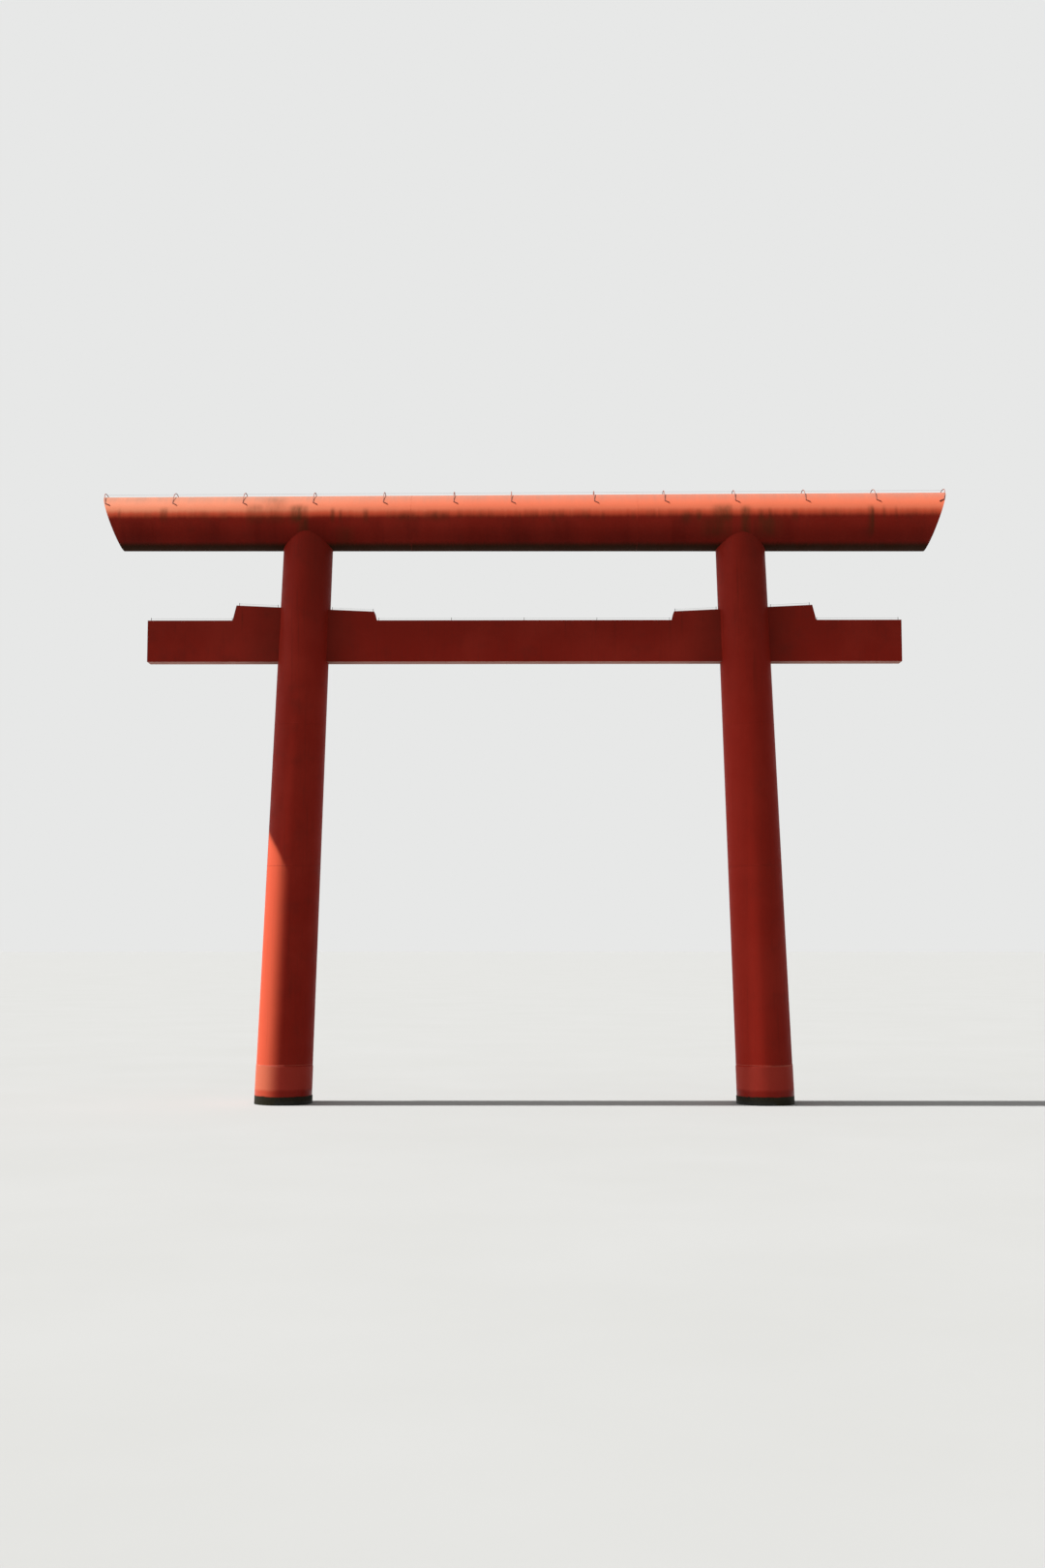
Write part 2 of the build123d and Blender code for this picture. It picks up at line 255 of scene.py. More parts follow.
def speckled(graph, colour):
    """Fine chalky and dark specks, as on old paint seen close to."""
    chalky = graph.times(graph.rise(graph.noise(90, 27, detail=3), 0.56, 0.7), 0.12)
    colour = graph.mix(chalky, colour, PAINT_WORN_AND_LIT)
    dark = graph.times(graph.rise(graph.noise(130, 29, detail=3), 0.6, 0.72), 0.3)
    return graph.mix(dark, colour, PAINT_DULL)


def paint_base(graph, stretch):
    """Deep vermilion with broad clouds and finer streaks along the given stretch."""
    clouds = graph.rise(graph.noise(0.45, 11, detail=5, rough=0.6), 0.35, 0.68)
    colour = graph.mix(clouds, PAINT_DEEP, PAINT_LIGHT)
    patches = graph.rise(graph.noise(1.6, 17, detail=6, rough=0.62), 0.5, 0.75)
    colour = graph.mix(graph.times(patches, 0.45), colour, PAINT_DULL)
    fine = graph.rise(graph.noise(7, 23, detail=5, stretch=stretch), 0.5, 0.8)
    colour = graph.mix(graph.times(fine, 0.35), colour, PAINT_DULL)
    return speckled(graph, colour)


def paint_roughness(graph, darkening):
    """Satin paint, patchy, and rougher where dirt and painted shade darken it."""
    patchy = graph.times(graph.noise(2.3, 31, detail=5), 0.3)
    return graph.math("ADD", graph.math("ADD", patchy, 0.36), graph.times(darkening, 0.25))


def rust_flecks(graph, colour, amount):
    """Small rusty spots, denser where a low noise is high."""
    spots = graph.rise(graph.noise(38, 41, detail=3), 0.7, 0.78)
    zones = graph.rise(graph.noise(1.1, 43, detail=3), 0.52, 0.72)
    return graph.mix(graph.times(spots, zones, amount), colour, RUST)


# Stains on the lintel: place and half width along it, strength, and where they begin and end
# (the upward part of the surface's direction: 1 on the crown, 0 at mid-height)
BROWN_STAINS = (
    (-10.71, 0.08, 0.45, 0.42, 0.05),
    (-9.53, 0.17, 0.90, 0.48, 0.00),
    (-8.45, 0.22, 0.50, 0.34, 0.00),
    (-7.93, 0.22, 0.50, 0.34, 0.00),
    (-5.06, 0.10, 0.80, 0.42, -0.05),
    (-4.85, 0.08, 0.60, 0.36, 0.00),
    (-4.19, 0.13, 0.75, 0.40, -0.05),
    (-3.10, 0.50, 0.80, 0.28, 0.00),
    (-2.30, 0.55, 0.90, 0.30, 0.00),
    (-0.11, 0.07, 0.55, 0.24, 0.00),
    (0.25, 0.07, 0.55, 0.24, 0.00),
    (0.78, 0.10, 0.90, 0.28, -0.05),
    (1.68, 0.08, 0.55, 0.24, 0.00),
    (2.09, 0.09, 0.55, 0.24, 0.00),
    (2.88, 0.09, 0.55, 0.24, 0.00),
    (6.26, 0.13, 0.75, 0.34, -0.10),
    (6.49, 0.11, 0.65, 0.34, -0.05),
    (7.15, 0.16, 0.70, 0.30, -0.05),
    (9.19, 0.19, 1.00, 0.44, -0.55),
    (9.50, 0.08, 0.55, 0.40, 0.00),
    (9.81, 0.07, 0.50, 0.40, 0.00),
)
OLIVE_STAINS = (
    (-7.10, 0.45, 0.60, 0.62, -0.10),
    (-6.60, 0.55, 0.50, 0.95, -0.10),
    (-5.97, 0.40, 1.00, 0.58, -0.10),
    (-5.80, 0.30, 0.85, 0.10, -0.75),
    (-4.75, 0.40, 0.55, -0.25, -0.95),
    (4.28, 0.22, 0.80, 0.28, -0.10),
    (4.62, 0.14, 0.70, 0.30, -0.10),
    (5.30, 0.45, 1.00, 0.52, -0.15),
    (5.10, 0.70, 0.75, 0.05, -0.60),
    (5.85, 0.22, 1.00, 0.46, -0.75),
    (6.45, 0.55, 0.75, 0.05, -0.60),
)


def stain_bands(graph, stains, along, up):
    """Strength of the stains in a list: the strongest of their bands at each place."""
    total = 0.0
    for place, reach, strength, begins, ends in stains:
        height = graph.times(
            graph.rise(up, begins + 0.04, begins - 0.26),
            graph.rise(up, ends - 0.25, ends + 0.1),
        )
        band = graph.times(graph.near(along, place, reach), height, strength)
        total = graph.math("MAXIMUM", total, band)
    return total


def under_hoops(graph, along):
    """1 under each hoop and 0 beyond a hand's width, where rain keeps the paint clean."""
    from_hoop = graph.math("PINGPONG", graph.math("SUBTRACT", along, HOOP_FIRST), HOOP_PITCH / 2)
    off_middle = graph.rise(graph.near(along, 0, 0.5), 0.5, 0)
    regular = graph.times(graph.rise(from_hoop, 0.14, 0.05), off_middle)
    return graph.math("MAXIMUM", regular, graph.near(along, HOOP_MIDDLE_SHIFT, 0.14))


# Stretch of the lintel's noise, which draws it out round the tube
LINTEL_GIRTH = (0.16, 2.6, 2.6)


def bleached_and_sunlit_bands(graph, colour, along, up):
    """Colour that goes from the deep red at mid-height to the pale crown: sun bleaching with painted
    sunlight, lighter from where the key lamp's light begins.
    """
    wander = graph.noise(1.3, 55, detail=5, stretch=LINTEL_GIRTH)
    edge = graph.times(graph.math("SUBTRACT", wander, 0.5), 0.12)
    ragged_up = graph.math("ADD", up, edge)
    # Painted sunlight with sun bleaching: the colour lightens from mid-height, where the key lamp's
    # light begins, up to the crown
    colour = graph.mix(graph.rise(ragged_up, -0.06, 0.16), colour, BLEACHED_SUNLIT_SHOULDER_RED)
    shoulder = graph.mix(graph.rise(along, -11, 0), BLEACHED_SUNLIT_SHOULDER_PALE, BLEACHED_SUNLIT_SHOULDER_ORANGE)
    colour = graph.mix(graph.rise(ragged_up, 0.12, 0.34), colour, shoulder)
    crown = graph.mix(graph.rise(along, -9, 5), BLEACHED_SUNLIT_CROWN_PALE, BLEACHED_SUNLIT_CROWN_WARM)
    washed = graph.rise(graph.noise(0.8, 61, detail=4, stretch=LINTEL_GIRTH), 0.3, 0.7)
    crown = graph.mix(graph.times(washed, 0.25), crown, shoulder)
    colour = graph.mix(graph.rise(ragged_up, 0.42, 0.88), colour, crown)
    grain = graph.times(graph.rise(graph.noise(55, 65, detail=6, rough=0.7), 0.5, 0.72), 0.22)
    return graph.mix(grain, colour, BLEACHED_SUNLIT_SHOULDER_RED)


def rain_streaks(graph, up):
    """Strength of the dirt that rain has drawn down to mid-height in streaks."""
    fine = graph.noise(1, 71, detail=6, rough=0.62, stretch=(0.13, 2.5, 2.5))
    fine = graph.rise(fine, 0.32, 0.72)
    broad = graph.rise(graph.noise(0.9, 75, detail=3, stretch=(1, 4, 4)), 0.4, 0.62)
    return graph.times(fine, broad, graph.rise(up, 0.4, 0.02), graph.rise(up, -0.12, 0.06), 0.5)


def shaded_face(graph, colour, up):
    """Painted shade: colour that deepens down the face, in clouds and in broad upright bands."""
    cloudy = graph.noise(0.7, 87, detail=4, stretch=(1, 3, 3))
    cloudy = graph.math("ADD", graph.times(cloudy, 0.6), 0.1)
    # Painted shade, darker down the face below mid-height
    face = graph.times(graph.rise(up, -0.05, -0.75), cloudy)
    colour = graph.mix(face, colour, FACE_PAINTED_SHADE)
    bands = graph.rise(graph.noise(1.2, 89, detail=4, rough=0.6, stretch=(1, 9, 9)), 0.45, 0.7)
    bands = graph.times(bands, graph.rise(up, 0.05, -0.2), 0.28)
    return graph.mix(bands, colour, FACE_PAINTED_SHADE)


def lintel_paint():
    """Vermilion, bleached with painted sunlight on the crown, stained above mid-height, darker down
    the face with painted shade and sooty underneath.
    """
    graph = Graph("lintel_paint")
    up = graph.facing_z
    along = graph.math("SUBTRACT", graph.x, MIDDLE)
    colour = paint_base(graph, LINTEL_GIRTH)
    colour = bleached_and_sunlit_bands(graph, colour, along, up)

    # Streaks and stains, which rain has washed off under the hoops
    clean = graph.math("SUBTRACT", 1.0, graph.times(under_hoops(graph, along), 0.9))
    mottle = graph.noise(3, 83, detail=6, rough=0.62, stretch=(0.4, 1.4, 1.4))
    mottle = graph.math("ADD", 0.55, graph.times(graph.rise(mottle, 0.3, 0.66), 0.45))
    brown = graph.times(stain_bands(graph, BROWN_STAINS, along, up), mottle)
    brown = graph.times(graph.math("MAXIMUM", rain_streaks(graph, up), brown), clean)
    colour = graph.mix(graph.times(brown, 0.85), colour, STAIN_BROWN)
    olive = graph.times(stain_bands(graph, OLIVE_STAINS, along, up), mottle, clean)
    colour = graph.mix(graph.times(olive, 0.72), colour, STAIN_OLIVE)
    colour = shaded_face(graph, colour, up)

    # Soot with a ragged edge along the underside
    ragged = graph.math("ADD", up, graph.times(graph.noise(5, 91, stretch=LINTEL_GIRTH), 0.1))
    under = graph.rise(ragged, -0.72, -0.88)
    colour = graph.mix(graph.times(under, 0.94), colour, GRIME)
    colour = rust_flecks(graph, colour, 0.5)
    darkening = graph.math("MAXIMUM", graph.math("MAXIMUM", brown, olive), under)
    return graph.finish(colour, paint_roughness(graph, darkening), paint_relief(graph))


# Edge of the shade that the lintel's end throws on the left pillar, where the painted sunlight ends:
# where z + slope * x = edge
SHADE_SLOPE = 1.8
SHADE_EDGE = 6.45


def painted_sunlight_mask(graph):
    """1 where sunlight is painted on the left pillar: on its left and below the lintel's shadow, a
    pool of painted sunlight with some sun bleaching.
    """
    left_pillar = graph.rise(graph.x, MIDDLE, MIDDLE - 1)
    wander = graph.times(graph.math("SUBTRACT", graph.noise(1.5, 97, detail=4), 0.5), 0.12)
    slanted = graph.math("ADD", graph.math("ADD", graph.z, graph.times(graph.x, SHADE_SLOPE)), wander)
    below_shade = graph.rise(slanted, SHADE_EDGE, SHADE_EDGE - 0.22)
    return graph.times(graph.rise(graph.facing_x, 0.05, -0.6), below_shade, left_pillar)


def pillar_paint():
    """Vermilion with faint runs down the tube, painted sunlight on the left pillar's sunny side,
    painted fill light on the right pillar's left flank and painted shade near the tops.
    """
    graph = Graph("pillar_paint")
    colour = paint_base(graph, (0.35, 0.35, 6))
    # Painted fill light: the right pillar's left flank lighter below its top
    right_pillar = graph.rise(graph.x, MIDDLE, MIDDLE + 1)
    left_flank = graph.rise(graph.facing_x, 0.5, -0.3)
    painted_flank_light = graph.times(left_flank, right_pillar, graph.rise(graph.z, 13, 9), 0.45)
    colour = graph.mix(painted_flank_light, colour, PAINT_WORN_AND_LIT)
    # Painted sunlight with some sun bleaching on the left pillar's left flank, below the lintel's
    # shadow
    colour = graph.mix(graph.times(painted_sunlight_mask(graph), 0.95), colour, PAINT_PAINTED_SUNLIGHT)
    runs = graph.rise(graph.noise(1, 101, detail=7, rough=0.6, stretch=(0.1, 0.1, 3.5)), 0.54, 0.74)
    high = graph.rise(graph.z, 9.5, 14.5)
    runs = graph.times(runs, graph.math("ADD", graph.times(high, 0.35), 0.15))
    # Painted shade under the lintel: the pillars darker near their tops, most on their right flanks
    shaded = graph.times(graph.rise(graph.facing_x, -0.6, 0.5), graph.rise(graph.z, 11, 14.5), 0.3)
    colour = graph.mix(graph.math("MAXIMUM", runs, shaded), colour, SOOT_AND_SHADE)
    seam = graph.near(graph.z, PILLAR_SEAMS[0], 0.035)
    colour = graph.mix(graph.times(seam, 0.15), colour, PAINT_DULL)
    colour = rust_flecks(graph, colour, 0.5)
    return graph.finish(colour, paint_roughness(graph, runs), paint_relief(graph))


# Distance of each pillar from the middle of the gate at the tie beam's height
PILLAR_AT_BEAM = 5.87


def beam_paint():
    """Vermilion on the box girder: pale on top from bleaching and painted sunlight, painted reflected
    light underneath, short runs from its top and painted shade beside the pillars.
    """
    graph = Graph("beam_paint")
    colour = paint_base(graph, (0.3, 0.3, 4))
    # Bleaching and painted sunlight on the beam's top
    level = graph.rise(graph.facing_z, 0.3, 0.9)
    colour = graph.mix(graph.times(level, 0.8), colour, BLEACHED_SUNLIT_CROWN_WARM)
    # Painted reflected light on the underside, in blotches
    blotchy = graph.rise(graph.noise(2.4, 113, detail=5), 0.25, 0.6)
    patchy_bounce = graph.math("ADD", graph.times(blotchy, 0.3), 0.65)
    under = graph.times(graph.rise(graph.facing_z, -0.3, -0.9), patchy_bounce)
    colour = graph.mix(under, colour, UNDERSIDE_PAINTED_BOUNCE)
    runs = graph.rise(graph.noise(1, 111, detail=7, rough=0.6, stretch=(0.08, 0.2, 1.6)), 0.5, 0.72)
    upper = graph.rise(graph.z, 11.9, 12.9)
    runs = graph.times(runs, graph.math("ADD", graph.times(upper, 0.3), 0.1))
    # Painted shade beside the pillars, joined with the runs and the darker upper part
    off_middle = graph.math("ABSOLUTE", graph.math("SUBTRACT", graph.x, MIDDLE))
    off_pillar = graph.math("ABSOLUTE", graph.math("SUBTRACT", off_middle, PILLAR_AT_BEAM))
    cloudy = graph.math("ADD", graph.times(graph.noise(1.8, 117, detail=4), 0.3), 0.22)
    beside = graph.times(graph.rise(off_pillar, 2.0, 0.65), cloudy)
    upper_dirt = graph.times(graph.rise(graph.z, 11.7, 12.65), 0.14)
    darkening = graph.math("MAXIMUM", graph.math("MAXIMUM", runs, beside), upper_dirt)
    colour = graph.mix(darkening, colour, SOOT_AND_SHADE)
    colour = rust_flecks(graph, colour, 0.6)
    return graph.finish(colour, paint_roughness(graph, darkening), paint_relief(graph))


# Heights between which the foot's look changes: to its rim with its painted highlight, wet paint,
# gloss and algae
RIM_HEIGHTS = (0.989, 0.993)
WET_HEIGHTS = (0.43, 0.33)
GLOSS_HEIGHTS = (0.4, 0.3)
ALGAE_HEIGHTS = (0.235, 0.2)


def sleeve_paint():
    """Thick coating round the foot: chalky above, clean and wet below, black lowest down, with
    painted sunlight on the left foot's sunny side and a painted highlight on the rim.
    """
    graph = Graph("sleeve_coating")
    wander = graph.times(graph.math("SUBTRACT", graph.noise(3, 121, detail=5), 0.5), 0.06)
    height = graph.math("ADD", graph.z, wander)
    blotchy = graph.rise(graph.noise(2.2, 131, detail=6, rough=0.65, stretch=(1, 1, 2)), 0.3, 0.7)
    dry = graph.mix(graph.times(blotchy, 0.3), FOOT_CHALK, PAINT_LIGHT)
    # Painted sunlight on the left foot's sunny side, on the dry and the wet band
    dry = graph.mix(graph.times(painted_sunlight_mask(graph), 0.85), dry, FOOT_PAINTED_SUNLIGHT)
    wet_red = graph.mix(graph.times(painted_sunlight_mask(graph), 0.6), FOOT_WET, PAINT_PAINTED_SUNLIGHT)
    colour = graph.mix(graph.rise(height, *WET_HEIGHTS), dry, wet_red)
    # Painted highlight on the rim
    rim = graph.rise(graph.z, *RIM_HEIGHTS)
    colour = graph.mix(graph.times(rim, 0.45), colour, FOOT_RIM_HIGHLIGHT)
    film = graph.rise(height, *ALGAE_HEIGHTS)
    slime = graph.mix(graph.noise(24, 141, detail=5), ALGAE, ALGAE_DRY)
    colour = graph.mix(film, colour, slime)
    colour = rust_flecks(graph, colour, 0.6)
    wet = graph.rise(height, *GLOSS_HEIGHTS)
    roughness = graph.math("SUBTRACT", paint_roughness(graph, film), graph.times(wet, 0.18))
    relief = graph.bump(graph.noise(45, 151, detail=6, rough=0.7), 0.003, paint_relief(graph))
    return graph.finish(colour, roughness, relief, specular=0.1)


def bar_paint(name, paint, steel, rust_share, bleach_and_sunlight_share):
    """Old paint on steel bar, rubbed through to dark steel, rusty in places, pale on top from
    bleaching and painted sunlight.
    """
    graph = Graph(name)
    worn = graph.rise(graph.noise(22, 161, detail=6, rough=0.7), 0.45, 0.62)
    colour = graph.mix(worn, paint, steel)
    rusty = graph.rise(graph.noise(9, 171, detail=5), 0.52, 0.66)
    colour = graph.mix(graph.times(rusty, rust_share), colour, RUST)
    # Bleaching and painted sunlight on the bars' tops
    level = graph.rise(graph.facing_z, 0.0, 0.6)
    colour = graph.mix(graph.times(level, bleach_and_sunlight_share), colour, BLEACHED_SUNLIT_CROWN_WARM)
    roughness = graph.math("ADD", graph.times(graph.noise(30, 181), 0.3), 0.4)
    relief = graph.bump(graph.noise(180, 191, detail=4), 0.0006)
    return graph.finish(colour, roughness, relief, specular=0.3)


def wire_finish():
    """Dull drawn wire with darker tarnish."""
    graph = Graph("dull_wire")
    colour = graph.mix(graph.rise(graph.noise(12, 201, detail=5), 0.35, 0.7), WIRE_DULL, WIRE_DARK)
    roughness = graph.math("ADD", graph.times(graph.noise(60, 211), 0.25), 0.3)
    relief = graph.bump(graph.noise(900, 221, stretch=(8, 1, 1)), 0.0001)
    return graph.finish(colour, roughness, relief, specular=0.5, metallic=0.8)


def crust_finish():
    """Algae, wet at the bottom and dry above."""
    graph = Graph("algae_crust")
    tufts = graph.rise(graph.noise(30, 271, detail=6, rough=0.7), 0.4, 0.68)
    colour = graph.mix(tufts, ALGAE, ALGAE_DRY)
    wet = graph.rise(graph.z, 0.15, 0.02)
    colour = graph.mix(graph.times(wet, 0.8), colour, ALGAE_WET)
    roughness = graph.math("SUBTRACT", 0.85, graph.times(wet, 0.45))
    relief = graph.bump(graph.noise(120, 281, detail=6, rough=0.75), 0.004)
    return graph.finish(colour, roughness, relief, specular=0.2)


LINTEL_PAINT = lintel_paint()
PILLAR_PAINT = pillar_paint()
BEAM_PAINT = beam_paint()
SLEEVE_COATING = sleeve_paint()
BAR_FINISH = bar_paint("bar_paint", BAR_PAINT, BAR_STEEL, rust_share=0.7, bleach_and_sunlight_share=0.75)
PIN_FINISH = bar_paint("pin_paint", PIN_PAINT, PIN_STEEL, rust_share=0.3, bleach_and_sunlight_share=0.2)
WIRE_FINISH = wire_finish()
CRUST_FINISH = crust_finish()

FINISHES = {
    "lintel_hoop": BAR_FINISH,
    "tie_beam_pins": PIN_FINISH,
    "lintel_wire": WIRE_FINISH,
    "tie_beam_wires": WIRE_FINISH,
    "lintel": LINTEL_PAINT,
    "tie_beam": BEAM_PAINT,
}


def node_finish(name):
    """Material of a CAD node, by the first part of its name or by what it is."""
    for start, material in FINISHES.items():
        if name.startswith(start):
            return material
    if name.endswith("wedge"):
        return BEAM_PAINT
    return SLEEVE_COATING if name.endswith("sleeve") else PILLAR_PAINT


for name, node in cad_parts.items():
    node.data.materials.clear()
    node.data.materials.append(node_finish(name))


# Meshes swept along a path
def add_mesh(name, vertices, faces, material):
    """A piece that rides on the gate, from its vertices and faces."""
    mesh = bpy.data.meshes.new(name)
    mesh.from_pydata([tuple(vertex) for vertex in vertices], [], faces)
    mesh.materials.append(material)
    tidy = bmesh.new()
    tidy.from_mesh(mesh)
    bmesh.ops.recalc_face_normals(tidy, faces=tidy.faces)
    tidy.to_mesh(mesh)
    tidy.free()
    for polygon in mesh.polygons:
        polygon.use_smooth = True
    piece = bpy.data.objects.new(name, mesh)
    bpy.context.scene.collection.objects.link(piece)
    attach(piece, "root")


# Pace of a bead's uneven swelling from ring to ring, and the share of its even ripples
SWELL_PACE = 0.43
EVEN_RIPPLE = 0.6


class Sweep:
    """Gathers tubes swept along paths, to become one mesh."""

    def __init__(self):
        self.vertices = []
        self.faces = []

    def tube(self, path, outs, half_width, half_height, closed, sides=7, ripple=0.0, seed=0.0):
        """Sweep an oval section; outs are the directions in which it stands out."""
        start = len(self.vertices)
        count = len(path)
        for index, (point, out) in enumerate(zip(path, outs)):
            following = path[(index + 1) % count] if closed or index + 1 < count else point
            before = path[index - 1] if closed or index > 0 else point
            onward = (following - before).normalized()
            beside = onward.cross(out).normalized()
            uneven = noise.noise((seed, index * SWELL_PACE, 0.0))
            swell = 1 + ripple * (uneven + EVEN_RIPPLE * cos(index * pi / 2))
            for side in range(sides):
                turn = 2 * pi * side / sides
                offset = half_width * cos(turn) * beside + half_height * sin(turn) * out
                self.vertices.append(point + swell * offset)
        rings = count if closed else count - 1
        for ring in range(rings):
            for side in range(sides):
                after = (ring + 1) % count
                beyond = (side + 1) % sides
                self.faces.append((
                    start + ring * sides + side,
                    start + ring * sides + beyond,
                    start + after * sides + beyond,
                    start + after * sides + side,
                ))
        if not closed:
            self.faces.append([start + side for side in reversed(range(sides))])
            self.faces.append([start + (count - 1) * sides + side for side in range(sides)])

    def piece(self, name, material, slot):
        add_mesh(name, self.vertices, self.faces, material)


# Weld seams
BEAD_STEP = 0.0045
BEAD_RIPPLE = 0.16
BUTT_HALF_WIDTH = 0.009
BUTT_HALF_HEIGHT = 0.0015
FILLET_RADIUS = 0.007
SMALL_FILLET = 0.004
SADDLE_STRETCH = 1.2
SADDLE_DROP = 1.5
HALVINGS = 30
FLANK_TRIES = 4


def ring_count(radius, step=BEAD_STEP):
    """Number of steps round a ring."""
    return int(2 * pi * radius / step)


def add_pillar_seams():
    """Butt welds round each pillar between its sections."""
    for name, side in SIDES.items():
        sweep = Sweep()
        for number, up in enumerate(PILLAR_SEAMS):
            count = ring_count(pillar_radius(up))
            around = [pillar_point(side, up, 2 * pi * step / count) for step in range(count)]
            points, outs = zip(*around)
            sweep.tube(points, outs, BUTT_HALF_WIDTH, BUTT_HALF_HEIGHT, True,
                       ripple=BEAD_RIPPLE, seed=number)
        sweep.piece(f"{name}_pillar_seams", PILLAR_PAINT, "vermilion_paint")


def add_lintel_seams():
    """Butt welds round the lintel between its sections."""
    sweep = Sweep()
    for number, along in enumerate(LINTEL_SEAMS):
        radius = lintel_radius(along)
        count = ring_count(radius)
        points, outs = [], []
        for step in range(count):
            turn = 2 * pi * step / count
            out = cos(turn) * ACROSS + sin(turn) * LINTEL_UP
            points.append(LINTEL_MIDDLE + along * LINTEL_AXIS + radius * out)
            outs.append(out)
        sweep.tube(points, outs, BUTT_HALF_WIDTH, BUTT_HALF_HEIGHT, True,
                   ripple=BEAD_RIPPLE, seed=number)
    sweep.piece("lintel_seams", LINTEL_PAINT, "vermilion_paint")


def lintel_clearance(point):
    """Distance of a point from the lintel's surface, positive outside it."""
    from_middle = point - LINTEL_MIDDLE
    along = from_middle.dot(LINTEL_AXIS)
    return (from_middle - along * LINTEL_AXIS).length - lintel_radius(along)


def saddle_point(side, turn):
    """Point where a pillar's surface meets the lintel's, found by halving."""
    low, high = LINTEL_HEIGHT - SADDLE_DROP, LINTEL_HEIGHT
    for _ in range(HALVINGS):
        up = (low + high) / 2
        point, out = pillar_point(side, up, turn)
        if lintel_clearance(point) > 0:
            low = up
        else:
            high = up
    return point, out


def add_saddle_welds():
    """Fillet welds where the fish-mouthed pillar heads meet the lintel."""
    for name, side in SIDES.items():
        sweep = Sweep()
        count = ring_count(pillar_radius(LINTEL_HEIGHT) * SADDLE_STRETCH)
        around = [saddle_point(side, 2 * pi * step / count) for step in range(count)]
        points, outs = zip(*around)
        sweep.tube(points, outs, FILLET_RADIUS, FILLET_RADIUS, True, ripple=BEAD_RIPPLE, seed=5)
        sweep.piece(f"{name}_saddle_weld", PILLAR_PAINT, "vermilion_paint")


def pillar_surface_x(side, way, y, z):
    """x on a pillar's surface at y and z, on its left (way -1) or right (way 1) flank."""
    foot, axis = pillar_axis(side)
    x = foot.x + way * PILLAR_FOOT_RADIUS
    for _ in range(FLANK_TRIES):
        up = (Vector((x, y, z)) - foot).dot(axis)
        half_chord = sqrt(pillar_radius(up) ** 2 - y * y)
        x = foot.x + (z * axis.x + way * half_chord) / axis.z
    return x


def wedge_top(place, way, low, high, x):
    """Height of a wedge's top at x on its pillar. An outer wedge rises from there to its tip."""
    if place == "inner":
        return high.z
    tip_x = low.x if way < 0 else high.x
    corner_x = tip_x - way * (high.z - low.z) * tan(WEDGE_END_SLANT)
    return high.z - tan(WEDGE_SLOPE) * abs(x - corner_x)


def add_cope_welds():
    """Fillet welds round the tie beam and wedges where they meet the pillars."""
    beam_low, beam_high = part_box("tie_beam_middle")
    half = beam_high.y
    for name, side in SIDES.items():
        sweep = Sweep()
        for place in ("inner", "outer"):
            way = side if place == "outer" else -side
            low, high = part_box(f"{name}_{place}_wedge")
            top = wedge_top(place, way, low, high, pillar_surface_x(side, way, half, high.z))
            corners = [(-half, beam_low.z), (-half, top), (half, top), (half, beam_low.z)]
            points, outs = [], []
            for first, last in zip(corners, corners[1:] + corners[:1]):
                length = sqrt((last[0] - first[0]) ** 2 + (last[1] - first[1]) ** 2)
                count = int(length / BEAD_STEP)
                for step in range(count):
                    share = step / count
                    y = first[0] + share * (last[0] - first[0])
                    z = first[1] + share * (last[1] - first[1])
                    points.append(Vector((pillar_surface_x(side, way, y, z), y, z)))
                    outs.append(Vector((way, 0, 0)))
            sweep.tube(points, outs, FILLET_RADIUS, FILLET_RADIUS, True, ripple=BEAD_RIPPLE, seed=7)
        sweep.piece(f"{name}_cope_welds", PILLAR_PAINT, "vermilion_paint")


add_pillar_seams()
add_lintel_seams()
add_saddle_welds()
add_cope_welds()


# Algae crust round the bottom of the feet
CRUST_STEPS = 420
CRUST_ROWS = 22
CRUST_HEIGHT = 0.2
CRUST_WAVE = 0.03
CRUST_WAVE_PACE = 3.1
CRUST_TOOTH = 0.02
CRUST_TOOTH_PACE = 19
CRUST_FILM = 0.0008
CRUST_LUMP = 0.0052
CRUST_SINK = 0.0004


def crust_edge(way):
    """Height of the algae's upper edge in a direction, with broad waves and small teeth."""
    wave = CRUST_WAVE * noise.noise(way * CRUST_WAVE_PACE)
    return CRUST_HEIGHT + wave + CRUST_TOOTH * noise.noise(way * CRUST_TOOTH_PACE)


def crust_thickness(way, z, share):
    """Thickness of the algae at a direction and height, share of the way to its upper edge."""
    spot = Vector((way.x * 6, way.y * 6, z * 14))
    lumps = 0.5 + 0.5 * noise.noise(spot * 2.2) + 0.35 * noise.noise(spot * 7.5)
    return (CRUST_FILM + CRUST_LUMP * max(lumps, 0)) * sqrt(max(1 - share, 0))


def add_crust(name, side):
    """A ragged, lumpy ring of algae on the foot sleeve, thinning to its upper edge."""
    low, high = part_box(f"{name}_foot_sleeve")
    centre = Vector(((low.x + high.x) / 2, 0, 0))
    _, axis = pillar_axis(side)
    sleeve_radius = high.y
    vertices, faces = [], []
    for step in range(CRUST_STEPS):
        turn = 2 * pi * step / CRUST_STEPS
        way = Vector((cos(turn), sin(turn), 0))
        edge = crust_edge(way)
        for row in range(CRUST_ROWS):
            share = row / (CRUST_ROWS - 1)
            z = edge * share
            thick = crust_thickness(way, z, share)
            radius = sleeve_radius - PILLAR_TAPER * z + thick - CRUST_SINK * share
            drift = axis.x / axis.z * z
            vertices.append(centre + Vector((drift + radius * way.x, radius * way.y, z)))
    for step in range(CRUST_STEPS):
        after = (step + 1) % CRUST_STEPS
        for row in range(CRUST_ROWS - 1):
            faces.append((
                step * CRUST_ROWS + row,
                after * CRUST_ROWS + row,
                after * CRUST_ROWS + row + 1,
                step * CRUST_ROWS + row + 1,
            ))
    add_mesh(f"{name}_foot_algae", vertices, faces, CRUST_FINISH)


for name, side in SIDES.items():
    add_crust(name, side)


